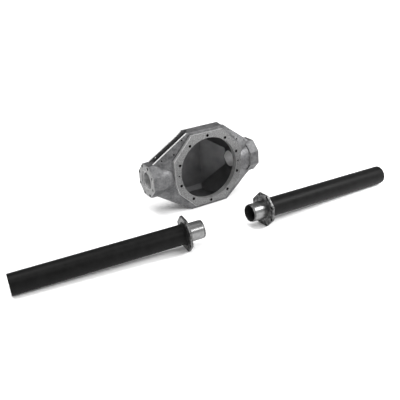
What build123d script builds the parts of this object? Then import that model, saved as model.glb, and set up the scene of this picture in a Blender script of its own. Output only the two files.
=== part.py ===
# Modular axle housing: a cast centre section with a bolted carrier opening,
# and two separate axle tubes, each with a welded bolt-on flange, laid out in front of it.
#
# Frame: X runs along the axle to the right, Y runs back into the housing, Z is up.
# The origin is the centre of the carrier bolt circle, on the machined carrier face.
# All sizes are in millimetres.

import os
from math import atan2, cos, hypot, radians, sin

from build123d import *

os.makedirs("parts", exist_ok=True)

# Carrier face: the raised, machined pad round the opening
bolt_circle_radius = 135.0
carrier_bolt_count = 10
carrier_bolt_hole_radius = 4.8
dowel_hole_radius = 3.2
dowel_hole_depth = 16.0
opening_radius = 125.0
face_raise = 13.5
face_top_margin = 11.0
face_bottom_margin = 13.0
face_side_overhang = 4.0
face_shoulder = 61.0
face_elbow = -29.0
face_hip = -75.0
face_hip_inset = 12.0
face_edge_break = 1.5

# Chamber: the faceted shell behind the face
body_half_height = 158.0
top_half_width = 82.0
front_wall = 9.5
shell_wall = 9.0
side_half_width = 147.0
shoulder_half_height = 75.0
roof_depth = 51.5
chamber_depth = 181.0
back_panel_half_width = 62.0
back_panel_top = 84.0
back_panel_bottom = -138.0
sump_slope_depth = 24.0
neck_facet_half_width = 135.0
neck_facet_half_height = 48.0
neck_facet_setback = 46.0

# Axle line and the ends that take the tubes
axle_setback = 70.0
axle_drop = 12.0
half_length = 244.0
end_block_length = 43.0
end_block_radius = 69.5
end_block_edge_break = 3.0
neck_radius = 61.0
tube_bolt_circle_radius = 58.8
tube_bolt_count = 8
tube_bolt_hole_radius = 3.4
tube_bolt_hole_depth = 24.0

# Web plates that brace the necks to the chamber, with open pockets between them.
# The front one folds back from the chamber's front edges, the rear one from its bend.
# Each brace hole is given along a plate's upper edge and in from it. The ones next to
# the chamber and to the end block go through both plates, the middle one through the front.
web_thickness = 8.0
web_end_inset = 23.0
web_end_above_axle = 66.0
web_end_below_axle = 61.0
front_web_sweep = 30.0
rear_web_bend = 105.0
rear_web_sweep = 29.0
web_hole_radius = 3.0
outer_web_holes = ((33.0, 5.5), (141.0, 9.0))
middle_web_holes = ((92.5, 21.5),)

# Axle tubes
tube_radius = 36.5
tube_wall = 5.5
barrel_length = 596.0
snout_radius = 33.5
snout_length = 69.0
flange_seat_radius = 34.0
flange_seat_margin = 1.0
lead_in_length = 7.0
lead_in_depth = 1.8
snout_clearance = 0.1

# Tube flanges
flange_radius = 64.5
flange_thickness = 9.0
flange_edge_break = 0.8
flange_hole_radius = 3.6
pilot_radius = 40.0
pilot_height = 3.0
pilot_clearance = 0.2
flange_fit = 0.05
pilot_recess_depth = 8.0
weld_leg = 6.0

# Where the tubes lie: the middle of each flange on the floor, and the way it points
left_tube_place = (-268.0, -258.9)
left_tube_heading = 172.7
right_tube_place = (69.7, -265.8)
right_tube_heading = 1.7

# Values that follow from the ones above
axle_z = -axle_drop
inner_front = face_raise + front_wall
block_inner_end = half_length - end_block_length
web_end = half_length - web_end_inset
floor_z = -body_half_height
vertex_angle = 180 / tube_bolt_count
flange_flat = flange_radius * cos(radians(vertex_angle))
web_end_top = axle_z + web_end_above_axle
web_end_bottom = axle_z - web_end_below_axle
face_top = body_half_height - face_top_margin
face_bottom = -body_half_height + face_bottom_margin
face_top_half_width = top_half_width - face_top_margin
face_bottom_half_width = top_half_width - face_bottom_margin
face_half_width = side_half_width + face_side_overhang
face_hip_half_width = face_half_width - face_hip_inset
end_bore_radius = snout_radius + snout_clearance
pilot_recess_radius = pilot_radius + pilot_clearance
flange_seat_length = flange_thickness + pilot_height + flange_seat_margin


def web_hole(along, inset):
    """Point on the right of a web plate, measured along and in from its upper edge."""
    run = web_end - top_half_width
    fall = body_half_height - web_end_top
    edge = hypot(run, fall)
    across = top_half_width + (along * run - inset * fall) / edge
    up = body_half_height - (along * fall + inset * run) / edge
    return across, up


def plane_through(first, second, third):
    """Plane through three points, whose normal points away from the chamber's inside."""
    first = Vector(*first)
    normal = (Vector(*second) - first).cross(Vector(*third) - first)
    inside = Vector(0, axle_setback, axle_z)
    if normal.dot(first - inside) < 0:
        normal = -normal
    return Plane(origin=first, z_dir=normal)


def chamber_facets():
    """Planes of the chamber's outer facets, right side and middle."""
    crease_top = (back_panel_half_width, chamber_depth, back_panel_top)
    crease_bottom = (back_panel_half_width, chamber_depth, back_panel_bottom)
    neck_rear = axle_setback + neck_facet_setback
    neck_top = (neck_facet_half_width, neck_rear, axle_z + neck_facet_half_height)
    neck_bottom = (neck_facet_half_width, neck_rear, axle_z - neck_facet_half_height)
    shoulder = (side_half_width, inner_front, shoulder_half_height)
    elbow = (side_half_width, inner_front, -shoulder_half_height)
    roof_corner = (top_half_width, face_raise, body_half_height)
    floor_corner = (top_half_width, face_raise, -body_half_height)
    roof_end = (0, face_raise + roof_depth, body_half_height)
    sump_end = (0, chamber_depth - sump_slope_depth, -body_half_height)
    return [
        plane_through(roof_end, crease_top, (0, chamber_depth, back_panel_top)),
        plane_through(sump_end, crease_bottom, (0, chamber_depth, back_panel_bottom)),
        plane_through(roof_corner, shoulder, (side_half_width, face_raise, shoulder_half_height)),
        plane_through(floor_corner, elbow, (side_half_width, face_raise, -shoulder_half_height)),
        plane_through(crease_top, crease_bottom, neck_bottom),
        plane_through(crease_top, neck_top, shoulder),
        plane_through(crease_bottom, neck_bottom, elbow),
    ]


def keep_behind(cuts):
    """Cut the part being built back to each plane and to its mirror image on the left."""
    for cut in cuts:
        origin = Vector(-cut.origin.X, cut.origin.Y, cut.origin.Z)
        normal = Vector(-cut.z_dir.X, cut.z_dir.Y, cut.z_dir.Z)
        split(bisect_by=cut, keep=Keep.BOTTOM)
        split(bisect_by=Plane(origin=origin, z_dir=normal), keep=Keep.BOTTOM)


def faceted_chamber(front, inset):
    """The chamber as one block, with every facet but the front moved in by inset."""
    width = 2 * (side_half_width - inset)
    height = 2 * (body_half_height - inset)
    depth = chamber_depth - inset - front
    with BuildPart() as chamber:
        with Locations((0, front + depth / 2, 0)):
            Box(width, depth, height)
        keep_behind([facet.offset(-inset) for facet in chamber_facets()])
    return chamber.part


def web_block(cuts):
    """Block with the outline of a web plate, as far forward as the cutting planes let it be."""
    with BuildPart() as block:
        with BuildSketch(Plane.XZ):
            with BuildLine():
                Polyline(
                    (top_half_width, body_half_height),
                    (web_end, web_end_top),
                    (web_end, web_end_bottom),
                    (top_half_width, -body_half_height),
                    (-top_half_width, -body_half_height),
                    (-web_end, web_end_bottom),
                    (-web_end, web_end_top),
                    (-top_half_width, body_half_height),
                    close=True,
                )
            make_face()
        extrude(amount=-chamber_depth)
        keep_behind(cuts)
    return block.part


def front_web_planes(front):
    """Planes of the front web: flat in front of the chamber, folded back past its edges."""
    roof_corner = (top_half_width, front, body_half_height)
    shoulder = (side_half_width, front, shoulder_half_height)
    elbow = (side_half_width, front, -shoulder_half_height)
    floor_corner = (top_half_width, front, -body_half_height)
    end_top = (web_end, front + front_web_sweep, web_end_top)
    end_bottom = (web_end, front + front_web_sweep, web_end_bottom)
    return [
        Plane(origin=(0, front, 0), z_dir=(0, -1, 0)),
        plane_through(roof_corner, shoulder, end_top),
        plane_through(shoulder, elbow, end_top),
        plane_through(elbow, floor_corner, end_bottom),
    ]


def rear_web_planes(front):
    """Planes of the rear web: flat in the middle, swept back to the end blocks."""
    bend = (rear_web_bend, front, 0)
    bend_top = (rear_web_bend, front, body_half_height)
    end = (web_end, front + rear_web_sweep, 0)
    return [Plane(origin=(0, front, 0), z_dir=(0, -1, 0)), plane_through(bend, bend_top, end)]


def end_block():
    """Right end: the eight-sided block and its neck, running in to the chamber wall."""
    with BuildPart() as end:
        with BuildSketch(Plane.YZ.offset(block_inner_end)):
            with Locations((axle_setback, axle_z)):
                RegularPolygon(end_block_radius, tube_bolt_count, rotation=vertex_angle)
        extrude(amount=end_block_length)
        chamfer(end.faces().sort_by(Axis.X)[-1].edges(), end_block_edge_break)
        with BuildSketch(Plane.YZ.offset(side_half_width - 2 * shell_wall)):
            with Locations((axle_setback, axle_z)):
                Circle(neck_radius)
        extrude(amount=block_inner_end - side_half_width + 2 * shell_wall)
    return end.part


def raised_face():
    """The machined pad that the carrier bolts to."""
    with BuildPart() as pad:
        with BuildSketch(Plane.XZ):
            with BuildLine():
                Polyline(
                    (face_top_half_width, face_top),
                    (face_half_width, face_shoulder),
                    (face_half_width, face_elbow),
                    (face_hip_half_width, face_hip),
                    (face_bottom_half_width, face_bottom),
                    (-face_bottom_half_width, face_bottom),
                    (-face_hip_half_width, face_hip),
                    (-face_half_width, face_elbow),
                    (-face_half_width, face_shoulder),
                    (-face_top_half_width, face_top),
                    close=True,
                )
            make_face()
        extrude(amount=-inner_front)
        chamfer(pad.faces().sort_by(Axis.Y)[0].edges(), face_edge_break)
    return pad.part


with BuildPart() as centre_housing:
    add(faceted_chamber(face_raise, 0))
    for web_planes, web_front in (
        (front_web_planes, face_raise),
        (rear_web_planes, face_raise + roof_depth - web_thickness),
    ):
        with BuildPart(mode=Mode.PRIVATE) as web:
            add(web_block(web_planes(web_front)))
            add(web_block(web_planes(web_front + web_thickness)), mode=Mode.SUBTRACT)
        add(web.part)
    add(raised_face())
    right_end = end_block()
    add(right_end)
    add(mirror(right_end, about=Plane.YZ, mode=Mode.PRIVATE))

    # Hollow out the chamber, open it to the front and bore it end to end
    add(faceted_chamber(inner_front, shell_wall), mode=Mode.SUBTRACT)
    with BuildSketch(Plane.XZ):
        Circle(opening_radius)
    extrude(amount=-inner_front, mode=Mode.SUBTRACT)
    with BuildSketch(Plane.YZ):
        with Locations((axle_setback, axle_z)):
            Circle(end_bore_radius)
    extrude(amount=half_length, both=True, mode=Mode.SUBTRACT)

    # Tapped holes and locating holes in the carrier face
    with BuildSketch(Plane.XZ):
        with PolarLocations(bolt_circle_radius, carrier_bolt_count, start_angle=90):
            Circle(carrier_bolt_hole_radius)
    extrude(amount=-inner_front, mode=Mode.SUBTRACT)
    with BuildSketch(Plane.XZ):
        with PolarLocations(bolt_circle_radius, 2):
            Circle(dowel_hole_radius)
    extrude(amount=-dowel_hole_depth, mode=Mode.SUBTRACT)

    # Pilot recess and tapped holes in each end block
    for outer_face in (
        Plane(origin=(half_length, axle_setback, axle_z), x_dir=(0, 1, 0), z_dir=(1, 0, 0)),
        Plane(origin=(-half_length, axle_setback, axle_z), x_dir=(0, 1, 0), z_dir=(-1, 0, 0)),
    ):
        with BuildSketch(outer_face):
            Circle(pilot_recess_radius)
        extrude(amount=-pilot_recess_depth, mode=Mode.SUBTRACT)
        with BuildSketch(outer_face):
            with PolarLocations(tube_bolt_circle_radius, tube_bolt_count, start_angle=vertex_angle):
                Circle(tube_bolt_hole_radius)
        extrude(amount=-tube_bolt_hole_depth, mode=Mode.SUBTRACT)

    # Brace holes along the upper edges of the web plates
    for holes, depth in (
        (outer_web_holes, chamber_depth),
        (middle_web_holes, face_raise + front_web_sweep + web_thickness),
    ):
        with BuildSketch(Plane.XZ):
            for along, inset in holes:
                across, up = web_hole(along, inset)
                with Locations((across, up), (-across, up)):
                    Circle(web_hole_radius)
        extrude(amount=-depth, mode=Mode.SUBTRACT)

centre_housing.part.label = "centre_housing"
export_step(centre_housing.part, "parts/centre_housing.step")


def tube_plane(place, heading):
    """Plane at the barrel side of a flange, facing along the tube to its far end.

    The tube rests on the flat of its flange and on the rim of its far end.
    """
    droop = atan2(flange_flat - tube_radius, barrel_length)
    run = cos(droop)
    along = Vector(run * cos(radians(heading)), run * sin(radians(heading)), -sin(droop))
    level = Vector(-sin(radians(heading)), cos(radians(heading)), 0)
    origin = (place[0], place[1], floor_z + flange_flat * run)
    return Plane(origin=origin, x_dir=level, z_dir=along)


def half_section(seat):
    """Plane through a tube's axis: X is the radius, Y runs along to the far end."""
    return Plane(origin=seat.origin, x_dir=seat.x_dir, z_dir=-seat.y_dir)


def axle_tube(seat):
    """Tube in one length: barrel, weld bead, flange seat, and the snout for the housing."""
    bore = tube_radius - tube_wall
    with BuildPart() as tube:
        with BuildSketch(half_section(seat)):
            with BuildLine():
                Polyline(
                    (bore, -snout_length),
                    (snout_radius - lead_in_depth, -snout_length),
                    (snout_radius, -snout_length + lead_in_length),
                    (snout_radius, -flange_seat_length),
                    (flange_seat_radius, -flange_seat_length),
                    (flange_seat_radius, 0),
                    (tube_radius + weld_leg, 0),
                    (tube_radius, weld_leg),
                    (tube_radius, barrel_length),
                    (bore, barrel_length),
                    close=True,
                )
            make_face()
        revolve(axis=Axis(seat.origin, seat.z_dir))
    return tube.part


def tube_flange(seat):
    """Eight-sided flange on its seat, hard against the barrel's shoulder and the weld."""
    with BuildPart() as flange:
        with BuildSketch(seat):
            RegularPolygon(flange_radius, tube_bolt_count, rotation=vertex_angle)
        extrude(amount=-flange_thickness)
        flats = flange.faces().filter_by(Axis(seat.origin, seat.z_dir))
        chamfer(flats.edges(), flange_edge_break)
        with BuildSketch(seat.offset(-flange_thickness)):
            Circle(pilot_radius)
        extrude(amount=-pilot_height)
        with BuildSketch(seat):
            Circle(flange_seat_radius + flange_fit)
            with PolarLocations(tube_bolt_circle_radius, tube_bolt_count, start_angle=vertex_angle):
                Circle(flange_hole_radius)
        extrude(amount=-(flange_thickness + pilot_height), mode=Mode.SUBTRACT)
    return flange.part


for side, place, heading in (
    ("left", left_tube_place, left_tube_heading),
    ("right", right_tube_place, right_tube_heading),
):
    seat = tube_plane(place, heading)
    pieces = {
        "axle_tube": axle_tube(seat),
        "tube_flange": tube_flange(seat),
    }
    for name, piece in pieces.items():
        piece.label = f"{side}_{name}"
        export_step(piece, f"parts/{side}_{name}.step")
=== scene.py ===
# Looks for the modular axle housing: a cast aluminium centre section and two loose
# axle tubes on a pale studio floor.
# Everything is in metres, in the frame of the solids: X along the axle, Y back, Z up.

import bpy
from math import atan2, cos, hypot, pi, radians, sin
from mathutils import Matrix, Vector

MM = 0.001

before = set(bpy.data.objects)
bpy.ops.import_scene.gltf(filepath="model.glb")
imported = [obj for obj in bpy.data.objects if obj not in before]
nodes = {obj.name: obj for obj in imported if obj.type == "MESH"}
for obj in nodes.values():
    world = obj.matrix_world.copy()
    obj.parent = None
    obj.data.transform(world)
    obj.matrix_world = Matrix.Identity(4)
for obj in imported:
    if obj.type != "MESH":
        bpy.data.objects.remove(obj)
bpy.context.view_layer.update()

ACROSS = Vector((1, 0, 0))
BACK = Vector((0, 1, 0))
UP = Vector((0, 0, 1))

# Casting: its height and length, and the line of the axle
BODY_HALF_HEIGHT = 158 * MM
HALF_LENGTH = 244 * MM
AXLE_LINE = Vector((0, 70 * MM, -12 * MM))

# Carrier face and opening
FACE_EDGE_BREAK = 1.5 * MM
FACE_RAISE = 13.5 * MM
FRONT_WALL = 9.5 * MM
OPENING_DEPTH = FACE_RAISE + FRONT_WALL
OPENING_RADIUS = 125 * MM
CARRIER_BOLTS = 10
CARRIER_CIRCLE = 135 * MM
CARRIER_HOLE = 4.8 * MM
CARRIER_FIRST_BOLT = radians(90)
DOWEL_PLACE = CARRIER_CIRCLE
DOWEL_DEPTH = 16 * MM
DOWEL_RADIUS = 3.2 * MM
CHAMBER_HALF_WIDTH = 147 * MM
CHAMBER_MIDDLE = Vector((0, 90 * MM, -10 * MM))

# Web plates: the sloping upper edge at the right, and the holes along it
WEB_CORNER = Vector((82 * MM, 0, BODY_HALF_HEIGHT))
WEB_END = Vector((HALF_LENGTH - 23 * MM, 0, AXLE_LINE.z + 66 * MM))
WEB_HOLES = [
    Vector((105.1 * MM, 0, 133.8 * MM)),
    Vector((143.1 * MM, 0, 85.4 * MM)),
    Vector((189.5 * MM, 0, 66.4 * MM)),
]
WEB_HOLE_RADIUS = 3 * MM

# Tubes: where the middle of each flange stands on the floor, and the way the barrel points
FLOOR_LEVEL = -BODY_HALF_HEIGHT
TUBES = {
    "left": (-268.0 * MM, -258.9 * MM, radians(172.7)),
    "right": (69.7 * MM, -265.8 * MM, radians(1.7)),
}
TUBE_RADIUS = 36.5 * MM
TUBE_WALL = 5.5 * MM
TUBE_BORE = TUBE_RADIUS - TUBE_WALL
BARREL_LENGTH = 596 * MM
SNOUT_RADIUS = 33.5 * MM
SNOUT_LENGTH = 69 * MM
LEAD_IN_LENGTH = 7 * MM

# Eight bolts join the flange of each tube to an end block
TUBE_BOLTS = 8
TUBE_CIRCLE = 58.8 * MM
TUBE_FIRST_BOLT = radians(180 / TUBE_BOLTS)
FLANGE_RADIUS = 64.5 * MM
FLANGE_FLAT = FLANGE_RADIUS * cos(TUBE_FIRST_BOLT)
FLANGE_THICKNESS = 9 * MM
FLANGE_HOLE = 3.6 * MM
PILOT_RADIUS = 40 * MM

# End blocks, with the bore for a snout and the recess for a pilot ring
BLOCK_LENGTH = 43 * MM
BLOCK_EDGE_BREAK = 3 * MM
END_BORE_RADIUS = SNOUT_RADIUS + 0.1 * MM
RECESS_DEPTH = 8 * MM
RECESS_RADIUS = PILOT_RADIUS + 0.2 * MM
BLOCK_HOLE = 3.4 * MM
BLOCK_HOLE_DEPTH = 24 * MM

# How near a facet's middle lies to the round or flat surface that it belongs to
SLACK = 0.6 * MM
FINE_SLACK = 0.2 * MM
# Parts of a facet's normal: the most that a wall leans from square, and the least by which
# an edge faces left, a block's face or its broken edge faces the end, and a plate faces along
LEAN = 0.05
FACES_LEFT = 0.3
FACES_END = 0.5
FACES_ALONG = 0.9

# Painted shade round the holes: how far it reaches past the hole, and half its soft edge
CARRIER_HOLE_SHADE = 1 * MM
BLOCK_HOLE_SHADE = 2.8 * MM
FLANGE_HOLE_SHADE = 1.5 * MM
HOLE_SHADE_SOFTNESS = 0.6 * MM


def linear(hex_colour):
    """Linear colour, with alpha, of an sRGB hex value."""
    channels = [int(hex_colour[i : i + 2], 16) / 255 for i in (1, 3, 5)]
    return [c / 12.92 if c <= 0.04045 else ((c + 0.055) / 1.055) ** 2.4 for c in channels] + [1.0]


def add(tree, kind, inputs=None, stops=(), **settings):
    """Add a shader node with its settings, values, links and the stops of its ramp."""
    made = tree.nodes.new("ShaderNode" + kind)
    for name, value in settings.items():
        setattr(made, name, value)
    for name, value in (inputs or {}).items():
        if isinstance(value, bpy.types.NodeSocket):
            tree.links.new(value, made.inputs[name])
        else:
            made.inputs[name].default_value = value
    for number, (position, colour) in enumerate(stops):
        made.color_ramp.elements[number].position = position
        made.color_ramp.elements[number].color = linear(colour)
    return made


def new_material(name):
    """Empty material: the material, its tree and the place on the part in metres."""
    material = bpy.data.materials.new(name)
    material.use_nodes = True
    tree = material.node_tree
    tree.nodes.clear()
    place = add(tree, "TexCoord").outputs["Object"]
    return material, tree, place


def tube_place(side):
    """Matrix from a tube's own frame, Z along it from the flange, to the part's frame."""
    x, y, heading = TUBES[side]
    droop = atan2(FLANGE_FLAT - TUBE_RADIUS, BARREL_LENGTH)
    along = Vector((cos(droop) * cos(heading), cos(droop) * sin(heading), -sin(droop)))
    level = Vector((-sin(heading), cos(heading), 0))
    rise = along.cross(level)
    matrix = Matrix((level, rise, along)).transposed().to_4x4()
    matrix.translation = (x, y, FLOOR_LEVEL + FLANGE_FLAT * cos(droop))
    return matrix


def bolt_circle(middle, across, up, radius, count, start):
    """Middles of the holes of a bolt circle that lies in the plane of across and up."""
    turns = [start + 2 * pi * n / count for n in range(count)]
    return [middle + radius * (cos(turn) * across + sin(turn) * up) for turn in turns]


def painted_hole_shade(tree, place, colour, holes, shade_reach):
    """Colour with painted shade: it turns dark within the given reach of the middle of each hole, so
    that the hole's shaded mouth looks wider.
    """
    away = [add(tree, "VectorMath", {0: place, 1: hole}, operation="DISTANCE") for hole in holes]
    nearest = away[0].outputs["Value"]
    for other in away[1:]:
        pair = {0: nearest, 1: other.outputs["Value"]}
        nearest = add(tree, "Math", pair, operation="MINIMUM").outputs[0]
    soft_edge = {"Value": nearest, "From Min": shade_reach - HOLE_SHADE_SOFTNESS, "From Max": shade_reach + HOLE_SHADE_SOFTNESS}
    unshaded = add(tree, "MapRange", soft_edge)
    # Inputs 6 and 7 and output 2 are the colours of a mix; #0a0a0a is the painted shade
    mixed = add(tree, "Mix", {0: unshaded.outputs[0], 6: linear("#0a0a0a"), 7: colour}, data_type="RGBA")
    return mixed.outputs[2]


def cast_aluminium():
    """Sand-cast aluminium, cleaned with fine shot: a matt grey skin with a fine pebble."""
    material, tree, place = new_material("cast_aluminium")
    # A sand grain of 0.5 mm wouldn't show, so the pebble is drawn 2.5 mm across
    pebble = add(tree, "TexNoise", {"Vector": place, "Scale": 1 / (2.5 * MM), "Detail": 3.0})
    # Sand and blasting leave mottles of 9 mm inside clouds of 45 mm
    mottle = add(
        tree, "TexNoise", {"Vector": place, "Scale": 1 / (9 * MM), "Detail": 4.0, "Roughness": 0.6}
    )
    cloud = add(tree, "TexNoise", {"Vector": place, "Scale": 1 / (45 * MM), "Detail": 3.0})
    both = add(tree, "Mix", {"Factor": 0.5, "A": mottle.outputs["Fac"], "B": cloud.outputs["Fac"]})
    colour = add(
        tree, "ValToRGB", {"Fac": both.outputs["Result"]}, [(0.36, "#4e4e4f"), (0.64, "#787879")]
    )
    roughness = add(tree, "MapRange", {"Value": pebble.outputs["Fac"], "To Min": 0.46, "To Max": 0.62})
    rounded = add(tree, "Bevel", {"Radius": 1.5 * MM}, samples=4)
    bump = add(
        tree,
        "Bump",
        {
            "Strength": 0.5,
            "Distance": 0.3 * MM,
            "Height": pebble.outputs["Fac"],
            "Normal": rounded.outputs["Normal"],
        },
    )
    shader = add(
        tree,
        "BsdfPrincipled",
        {
            "Base Color": colour.outputs["Color"],
            "Metallic": 1.0,
            "Roughness": roughness.outputs["Result"],
            "Normal": bump.outputs["Normal"],
        },
    )
    add(tree, "OutputMaterial", {"Surface": shader.outputs["BSDF"]})
    return material


def cored_aluminium():
    """Inside of the casting: the same skin, left smoother by its core."""
    material, tree, place = new_material("cored_aluminium")
    cloud = add(tree, "TexNoise", {"Vector": place, "Scale": 1 / (60 * MM), "Detail": 3.0})
    colour = add(
        tree, "ValToRGB", {"Fac": cloud.outputs["Fac"]}, [(0.3, "#5a5a5b"), (0.7, "#6e6e6f")]
    )
    # The core's sand, drawn 2.5 mm across as on the outside
    pebble = add(tree, "TexNoise", {"Vector": place, "Scale": 1 / (2.5 * MM), "Detail": 3.0})
    bump = add(tree, "Bump", {"Strength": 0.3, "Distance": 0.3 * MM, "Height": pebble.outputs["Fac"]})
    shader = add(
        tree,
        "BsdfPrincipled",
        {
            "Base Color": colour.outputs["Color"],
            "Metallic": 1.0,
            "Roughness": 0.55,
            "Normal": bump.outputs["Normal"],
        },
    )
    add(tree, "OutputMaterial", {"Surface": shader.outputs["BSDF"]})
    return material


def milled_aluminium():
    """Face-milled aluminium: lighter than the casting, with an open, speckled grain."""
    material, tree, place = new_material("milled_aluminium")
    # Pores under 1 mm, drawn 5 mm across so that they show as specks
    specks = add(
        tree, "TexNoise", {"Vector": place, "Scale": 1 / (5 * MM), "Detail": 4.0, "Roughness": 0.7}
    )
    colour = add(
        tree, "ValToRGB", {"Fac": specks.outputs["Fac"]}, [(0.35, "#545454"), (0.62, "#828282")]
    )
    # Painted shade round the carrier holes, seen along Y so that it is round on the face
    on_face = add(tree, "VectorMath", {0: place, 1: ACROSS + UP}, operation="MULTIPLY")
    holes = bolt_circle(Vector(), ACROSS, UP, CARRIER_CIRCLE, CARRIER_BOLTS, CARRIER_FIRST_BOLT)
    shade_reach = CARRIER_HOLE + CARRIER_HOLE_SHADE
    hole_shaded = painted_hole_shade(tree, on_face.outputs[0], colour.outputs["Color"], holes, shade_reach)
    roughness = add(tree, "MapRange", {"Value": specks.outputs["Fac"], "To Min": 0.5, "To Max": 0.36})
    bump = add(tree, "Bump", {"Strength": 0.25, "Distance": 0.1 * MM, "Height": specks.outputs["Fac"]})
    shader = add(
        tree,
        "BsdfPrincipled",
        {
            "Base Color": hole_shaded,
            "Metallic": 1.0,
            "Roughness": roughness.outputs["Result"],
            "Normal": bump.outputs["Normal"],
        },
    )
    add(tree, "OutputMaterial", {"Surface": shader.outputs["BSDF"]})
    return material


def faced_aluminium():
    """Turned faces of the end blocks: pale aluminium, gone slightly dull."""
    material, tree, place = new_material("faced_aluminium")
    # Turning marks under 0.5 mm, drawn as specks 4 mm across
    specks = add(
        tree, "TexNoise", {"Vector": place, "Scale": 1 / (4 * MM), "Detail": 4.0, "Roughness": 0.65}
    )
    colour = add(
        tree, "ValToRGB", {"Fac": specks.outputs["Fac"]}, [(0.3, "#7a7a7a"), (0.7, "#9a9a9a")]
    )
    # Painted shade round the bolt holes of the end faces, seen along X so that one set serves both
    # ends
    on_end = add(tree, "VectorMath", {0: place, 1: BACK + UP}, operation="MULTIPLY")
    holes = bolt_circle(AXLE_LINE, BACK, UP, TUBE_CIRCLE, TUBE_BOLTS, TUBE_FIRST_BOLT)
    shade_reach = BLOCK_HOLE + BLOCK_HOLE_SHADE
    hole_shaded = painted_hole_shade(tree, on_end.outputs[0], colour.outputs["Color"], holes, shade_reach)
    roughness = add(tree, "MapRange", {"Value": specks.outputs["Fac"], "To Min": 0.6, "To Max": 0.45})
    shader = add(
        tree,
        "BsdfPrincipled",
        {"Base Color": hole_shaded, "Metallic": 0.7, "Roughness": roughness.outputs["Result"]},
    )
    add(tree, "OutputMaterial", {"Surface": shader.outputs["BSDF"]})
    return material


def painted_pad_edge_highlight():
    """Edges of the machined face: aluminium painted lighter, a painted highlight where light catches
    them.
    """
    material, tree, place = new_material("aluminium_pad_edge_painted_highlight")
    # The painted highlight breaks into streaks about 7 mm long
    highlight_streaks = add(tree, "TexNoise", {"Vector": place, "Scale": 1 / (7 * MM), "Detail": 3.0})
    colour = add(
        tree, "ValToRGB", {"Fac": highlight_streaks.outputs["Fac"]}, [(0.3, "#8c8c8c"), (0.7, "#b4b4b4")]
    )
    roughness = add(tree, "MapRange", {"Value": highlight_streaks.outputs["Fac"], "To Min": 0.4, "To Max": 0.55})
    shader = add(
        tree,
        "BsdfPrincipled",
        {
            "Base Color": colour.outputs["Color"],
            "Metallic": 0.6,
            "Roughness": roughness.outputs["Result"],
        },
    )
    add(tree, "OutputMaterial", {"Surface": shader.outputs["BSDF"]})
    return material


def painted_web_edge_highlight():
    """Top edges of the web plates, cut: painted nearly white with little gloss, a painted highlight
    where light catches them.
    """
    material, tree, place = new_material("aluminium_web_edge_painted_highlight")
    # The painted highlight breaks into streaks about 12 mm long
    highlight_streaks = add(tree, "TexNoise", {"Vector": place, "Scale": 1 / (12 * MM), "Detail": 3.0})
    colour = add(
        tree, "ValToRGB", {"Fac": highlight_streaks.outputs["Fac"]}, [(0.3, "#b8b8b8"), (0.7, "#e8e8e8")]
    )
    shader = add(
        tree,
        "BsdfPrincipled",
        {"Base Color": colour.outputs["Color"], "Metallic": 0.3, "Roughness": 0.5},
    )
    add(tree, "OutputMaterial", {"Surface": shader.outputs["BSDF"]})
    return material


def bored_aluminium_painted_light():
    """Bored aluminium: lighter than the casting, dulled by the fine rings of the tool, and made paler
    still as painted light inside the bores.
    """
    material, tree, place = new_material("bored_aluminium_painted_light")
    # Tool rings under 0.5 mm apart blur into an even sheen with faint 12 mm clouds
    clouds = add(tree, "TexNoise", {"Vector": place, "Scale": 1 / (12 * MM)})
    colour = add(
        tree, "ValToRGB", {"Fac": clouds.outputs["Fac"]}, [(0.3, "#b4b4b4"), (0.7, "#cacaca")]
    )
    roughness = add(tree, "MapRange", {"Value": clouds.outputs["Fac"], "To Min": 0.5, "To Max": 0.6})
    shader = add(
        tree,
        "BsdfPrincipled",
        {
            "Base Color": colour.outputs["Color"],
            "Metallic": 1.0,
            "Roughness": roughness.outputs["Result"],
        },
    )
    add(tree, "OutputMaterial", {"Surface": shader.outputs["BSDF"]})
    return material


def hole_wall_painted_shade():
    """Walls of the small tapped holes: threaded cut aluminium, painted near black as the shade of
    their depth.
    """
    material, tree, place = new_material("hole_wall_painted_shade")
    # Thread pitch and chips of about 2 mm
    shade = add(tree, "TexNoise", {"Vector": place, "Scale": 1 / (2 * MM)})
    colour = add(
        tree, "ValToRGB", {"Fac": shade.outputs["Fac"]}, [(0.3, "#050505"), (0.7, "#0c0c0c")]
    )
    shader = add(
        tree,
        "BsdfPrincipled",
        {"Base Color": colour.outputs["Color"], "Metallic": 1.0, "Roughness": 0.6},
    )
    add(tree, "OutputMaterial", {"Surface": shader.outputs["BSDF"]})
    return material


def satin_black_paint():
    """Drawn steel tube in satin black paint: a soft streak of light along a dark wall."""
    material, tree, place = new_material("satin_black_paint")
    # Faint runs of the brush, 25 mm patches, and orange peel of 3 mm
    runs = add(tree, "TexNoise", {"Vector": place, "Scale": 1 / (25 * MM), "Detail": 3.0})
    peel = add(tree, "TexNoise", {"Vector": place, "Scale": 1 / (3 * MM)})
    colour = add(
        tree, "ValToRGB", {"Fac": runs.outputs["Fac"]}, [(0.3, "#080808"), (0.7, "#101010")]
    )
    roughness = add(tree, "MapRange", {"Value": runs.outputs["Fac"], "To Min": 0.4, "To Max": 0.5})
    bump = add(tree, "Bump", {"Strength": 0.15, "Distance": 0.1 * MM, "Height": peel.outputs["Fac"]})
    shader = add(
        tree,
        "BsdfPrincipled",
        {
            "Base Color": colour.outputs["Color"],
            "Roughness": roughness.outputs["Result"],
            "IOR": 1.3,
            "Specular IOR Level": 0.2,
            "Normal": bump.outputs["Normal"],
        },
    )
    add(tree, "OutputMaterial", {"Surface": shader.outputs["BSDF"]})
    return material


def turned_steel():
    """Turned bare steel: bright, with a soft band of light along the snout."""
    material, tree, place = new_material("turned_steel")
    # Feed marks 0.25 mm apart blur into a sheen with faint 10 mm clouds
    clouds = add(tree, "TexNoise", {"Vector": place, "Scale": 1 / (10 * MM), "Detail": 3.0})
    colour = add(
        tree, "ValToRGB", {"Fac": clouds.outputs["Fac"]}, [(0.3, "#747474"), (0.7, "#848484")]
    )
    shader = add(
        tree,
        "BsdfPrincipled",
        {"Base Color": colour.outputs["Color"], "Metallic": 1.0, "Roughness": 0.3},
    )
    add(tree, "OutputMaterial", {"Surface": shader.outputs["BSDF"]})
    return material


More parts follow.
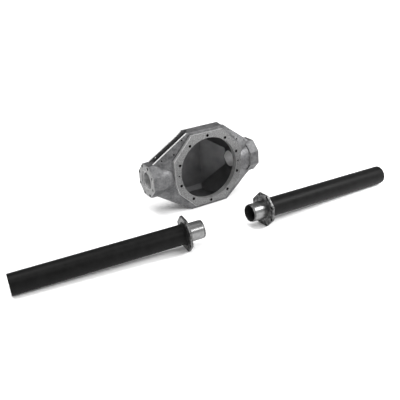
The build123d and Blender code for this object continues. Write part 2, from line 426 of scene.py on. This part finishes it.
def mill_scale():
    """Inside of the tube: mill scale on drawn steel, almost black."""
    material, tree, place = new_material("mill_scale")
    # Scale flakes of about 6 mm
    flakes = add(tree, "TexNoise", {"Vector": place, "Scale": 1 / (6 * MM), "Detail": 3.0})
    colour = add(
        tree, "ValToRGB", {"Fac": flakes.outputs["Fac"]}, [(0.3, "#161616"), (0.7, "#2b2b2b")]
    )
    shader = add(
        tree,
        "BsdfPrincipled",
        {"Base Color": colour.outputs["Color"], "Metallic": 0.4, "Roughness": 0.65},
    )
    add(tree, "OutputMaterial", {"Surface": shader.outputs["BSDF"]})
    return material


def flame_cut_plate(side):
    """Flame-cut steel plate of one flange: dark scale, come off in lighter patches, with painted shade
    round the bolt holes.
    """
    material, tree, place = new_material(side + "_flame_cut_plate")
    # Scale comes off in patches of about 12 mm
    patches = add(
        tree, "TexNoise", {"Vector": place, "Scale": 1 / (12 * MM), "Detail": 4.0, "Roughness": 0.65}
    )
    colour = add(
        tree, "ValToRGB", {"Fac": patches.outputs["Fac"]}, [(0.42, "#242424"), (0.66, "#767676")]
    )
    # The holes go through, so their middles lie half way into the plate
    to_part = tube_place(side)
    middle = to_part @ Vector((0, 0, -FLANGE_THICKNESS / 2))
    level, rise = to_part.col[0].to_3d(), to_part.col[1].to_3d()
    holes = bolt_circle(middle, level, rise, TUBE_CIRCLE, TUBE_BOLTS, TUBE_FIRST_BOLT)
    # Painted shade round the bolt holes
    shade_reach = hypot(FLANGE_THICKNESS / 2, FLANGE_HOLE + FLANGE_HOLE_SHADE)
    hole_shaded = painted_hole_shade(tree, place, colour.outputs["Color"], holes, shade_reach)
    roughness = add(tree, "MapRange", {"Value": patches.outputs["Fac"], "To Min": 0.5, "To Max": 0.35})
    bump = add(tree, "Bump", {"Strength": 0.3, "Distance": 0.3 * MM, "Height": patches.outputs["Fac"]})
    shader = add(
        tree,
        "BsdfPrincipled",
        {
            "Base Color": hole_shaded,
            "Metallic": 0.7,
            "Roughness": roughness.outputs["Result"],
            "Normal": bump.outputs["Normal"],
        },
    )
    add(tree, "OutputMaterial", {"Surface": shader.outputs["BSDF"]})
    return material


def steel_edge_and_lead_in_shade():
    """Ground edges of the flange, bare steel dulled by use, and the snout's lead-in, given the same
    dark tone as painted shade at the snout's end.
    """
    material, tree, place = new_material("steel_edge_and_lead_in_shade")
    # Dull patches of about 8 mm
    dull_patches = add(tree, "TexNoise", {"Vector": place, "Scale": 1 / (8 * MM)})
    colour = add(
        tree, "ValToRGB", {"Fac": dull_patches.outputs["Fac"]}, [(0.3, "#303030"), (0.7, "#6c6c6c")]
    )
    shader = add(
        tree,
        "BsdfPrincipled",
        {"Base Color": colour.outputs["Color"], "Metallic": 1.0, "Roughness": 0.45},
    )
    add(tree, "OutputMaterial", {"Surface": shader.outputs["BSDF"]})
    return material


def dress(piece, finishes, choose):
    """Give each facet of a piece the finish that choose(middle, normal) names."""
    names = list(finishes)
    piece.data.materials.clear()
    for name in names:
        piece.data.materials.append(finishes[name])
    for facet in piece.data.polygons:
        facet.material_index = names.index(choose(facet.center, facet.normal))


def choose_face_finish(middle):
    """Finish of a facet that runs square to the carrier face, or None away from it."""
    from_centre = hypot(middle.x, middle.z)
    on_right = Vector((abs(middle.x), 0, middle.z))
    edge = (WEB_END - WEB_CORNER).normalized()
    # The top edges of the web plates get a painted highlight
    if (on_right - WEB_CORNER).cross(edge).length < FINE_SLACK:
        return "web_top_highlight"
    if min((on_right - hole).length for hole in WEB_HOLES) < WEB_HOLE_RADIUS + SLACK:
        return "drilled"
    if middle.y < OPENING_DEPTH and abs(from_centre - OPENING_RADIUS) < SLACK:
        return "bored"
    if middle.y < OPENING_DEPTH and abs(from_centre - CARRIER_CIRCLE) < CARRIER_HOLE + SLACK:
        return "drilled"
    # The side walls of the raised face get a painted highlight
    if middle.y < FACE_RAISE and from_centre > CARRIER_CIRCLE:
        return "pad_side_highlight"
    return None


def choose_block_finish(middle, normal):
    """Finish of a facet of an end block's face, recess, bore or bolt holes, or None."""
    across = abs(middle.x)
    from_axle = hypot(middle.y - AXLE_LINE.y, middle.z - AXLE_LINE.z)
    runs_along = abs(normal.x) < LEAN
    if across > HALF_LENGTH - BLOCK_EDGE_BREAK and abs(normal.x) > FACES_END:
        return "faced"
    if across > HALF_LENGTH - RECESS_DEPTH - SLACK and from_axle < RECESS_RADIUS + SLACK:
        return "bored"
    if abs(from_axle - END_BORE_RADIUS) < SLACK and runs_along:
        return "bored"
    if across > HALF_LENGTH - BLOCK_LENGTH and abs(from_axle - TUBE_CIRCLE) < BLOCK_HOLE + SLACK:
        at_bottom = abs(across - HALF_LENGTH + BLOCK_HOLE_DEPTH) < SLACK
        return "drilled" if at_bottom or runs_along else "as_cast"
    return None


def choose_housing(middle, normal):
    """Finish of one facet of the casting."""
    if middle.y < FACE_EDGE_BREAK + FINE_SLACK:
        # The broken edge gets the painted highlight at the left only, the side that the light catches
        return "pad_side_highlight" if middle.y > FINE_SLACK and normal.x < -FACES_LEFT else "milled"
    if abs(normal.y) < LEAN:
        finish = choose_face_finish(middle)
        if finish:
            return finish
    from_dowel = hypot(abs(middle.x) - DOWEL_PLACE, middle.z)
    if abs(middle.y - DOWEL_DEPTH) < SLACK and from_dowel < DOWEL_RADIUS:
        return "drilled"
    finish = choose_block_finish(middle, normal)
    if finish:
        return finish
    in_chamber = abs(middle.x) < CHAMBER_HALF_WIDTH and middle.y > OPENING_DEPTH - SLACK
    if in_chamber and (CHAMBER_MIDDLE - middle).dot(normal) > 0:
        return "cored"
    return "as_cast"


def tube_chooser(side):
    """Chooser for the facets of a tube, by their place along and out from the axis."""
    to_tube = tube_place(side).inverted()

    def choose(middle, normal):
        place = to_tube @ middle
        if hypot(place.x, place.y) < TUBE_BORE + SLACK:
            return "inside"
        # The snout's lead-in gets the dark edge tone as painted shade
        if place.z < LEAD_IN_LENGTH - SNOUT_LENGTH:
            return "edge_and_lead_in_shade"
        return "turned" if place.z < SLACK else "painted"

    return choose


def flange_chooser(side):
    """Chooser for the facets of a flange: its two faces, its holes and the rest."""
    to_tube = tube_place(side).inverted()
    holes = bolt_circle(Vector(), ACROSS, BACK, TUBE_CIRCLE, TUBE_BOLTS, TUBE_FIRST_BOLT)

    def choose(middle, normal):
        place = to_tube @ middle
        place.z = 0
        if abs((to_tube.to_3x3() @ normal).z) > FACES_ALONG:
            return "plate"
        from_hole = min((place - hole).length for hole in holes)
        return "drilled" if from_hole < FLANGE_HOLE + FINE_SLACK else "edge_and_lead_in_shade"

    return choose


def studio_light(name, place, aim, width, height, watts):
    """Soft box at a place, turned to the point that it lights."""
    data = bpy.data.lights.new(name, "AREA")
    data.shape = "RECTANGLE"
    data.size = width
    data.size_y = height
    data.energy = watts
    light = bpy.data.objects.new(name, data)
    bpy.context.scene.collection.objects.link(light)
    light.location = place
    light.rotation_euler = (Vector(aim) - Vector(place)).to_track_quat("-Z", "Y").to_euler()


drilled = hole_wall_painted_shade()
edge_and_lead_in_shade = steel_edge_and_lead_in_shade()
housing_finishes = {
    "as_cast": cast_aluminium(),
    "cored": cored_aluminium(),
    "milled": milled_aluminium(),
    "faced": faced_aluminium(),
    "bored": bored_aluminium_painted_light(),
    "drilled": drilled,
    "pad_side_highlight": painted_pad_edge_highlight(),
    "web_top_highlight": painted_web_edge_highlight(),
}
tube_finishes = {
    "painted": satin_black_paint(),
    "turned": turned_steel(),
    "inside": mill_scale(),
    "edge_and_lead_in_shade": edge_and_lead_in_shade,
}

dress(nodes["centre_housing"], housing_finishes, choose_housing)
for side in TUBES:
    dress(nodes[side + "_axle_tube"], tube_finishes, tube_chooser(side))
    flange_finishes = {"plate": flame_cut_plate(side), "edge_and_lead_in_shade": edge_and_lead_in_shade, "drilled": drilled}
    dress(nodes[side + "_tube_flange"], flange_finishes, flange_chooser(side))

# Floor: white paper that fills the picture to its top edge
FLOOR_SIZE = 40
bpy.ops.mesh.primitive_plane_add(size=FLOOR_SIZE, location=(0, 0, FLOOR_LEVEL))
floor = bpy.context.object
floor.name = "studio_floor"
paper = bpy.data.materials.new("white_paper")
paper.use_nodes = True
paper_shader = paper.node_tree.nodes["Principled BSDF"]
paper_shader.inputs["Base Color"].default_value = linear("#fafafa")
paper_shader.inputs["Roughness"].default_value = 0.9
paper_shader.inputs["Emission Color"].default_value = linear("#ffffff")
paper_shader.inputs["Emission Strength"].default_value = 0.04
floor.data.materials.append(paper)

# Studio light: one broad overhead glow that keeps the whole floor white, a soft box above
# the camera, a strip at the front right that draws the band along the snouts, and two small
# boxes at the right
overhead = bpy.data.objects.new("overhead", bpy.data.lights.new("overhead", "SUN"))
overhead.data.energy = 2.5
overhead.data.angle = radians(38)
overhead.rotation_euler = Vector((0.2, -0.1, -1)).to_track_quat("-Z", "Y").to_euler()
bpy.context.scene.collection.objects.link(overhead)
studio_light("over_camera", place=(-0.9, -2.0, 2.2), aim=(0, 0, 0), width=1.4, height=0.8, watts=16)
studio_light(
    "strip_front", place=(1.0, -2.1, 1.6), aim=(-0.1, -0.2, -0.05), width=1.6, height=0.34, watts=46
)
studio_light("low_right", place=(2.4, -0.5, 0.35), aim=(0, 0, 0), width=0.8, height=0.8, watts=10)
studio_light("near_right", place=(1.4, -1.0, 1.2), aim=(0.1, 0, 0), width=0.8, height=0.6, watts=22)

# Walls: pale near the floor, dim above
world = bpy.data.worlds.new("studio_walls")
world.use_nodes = True
wall_tree = world.node_tree
direction = add(wall_tree, "TexCoord").outputs["Generated"]
height = add(wall_tree, "SeparateXYZ", {"Vector": direction}).outputs["Z"]
walls = add(
    wall_tree,
    "MapRange",
    {"Value": height, "From Min": 0.12, "From Max": 0.4, "To Min": 1.0, "To Max": 0.36},
)
background = wall_tree.nodes["Background"]
background.inputs["Color"].default_value = linear("#ffffff")
wall_tree.links.new(walls.outputs["Result"], background.inputs["Strength"])
bpy.context.scene.world = world
bpy.context.scene.view_settings.view_transform = "Standard"

# Camera at the photograph's viewing angle, from the fit that the part's sizes also use
camera_place = (-1.1113, -1.9026, 0.8501)
right = Vector((0.85806, -0.50972, -0.06253))
down = Vector((-0.25771, -0.32208, -0.91096))
forward = Vector((0.4442, 0.79778, -0.40772))
camera_data = bpy.data.cameras.new("camera")
camera_data.sensor_width = 36
camera_data.lens = 54
camera_data.clip_start = 0.05
camera_data.clip_end = 100
camera = bpy.data.objects.new("camera", camera_data)
bpy.context.scene.collection.objects.link(camera)
turned_to_view = Matrix((right, -down, -forward)).transposed().to_4x4()
camera.matrix_world = Matrix.Translation(camera_place) @ turned_to_view
bpy.context.scene.camera = camera
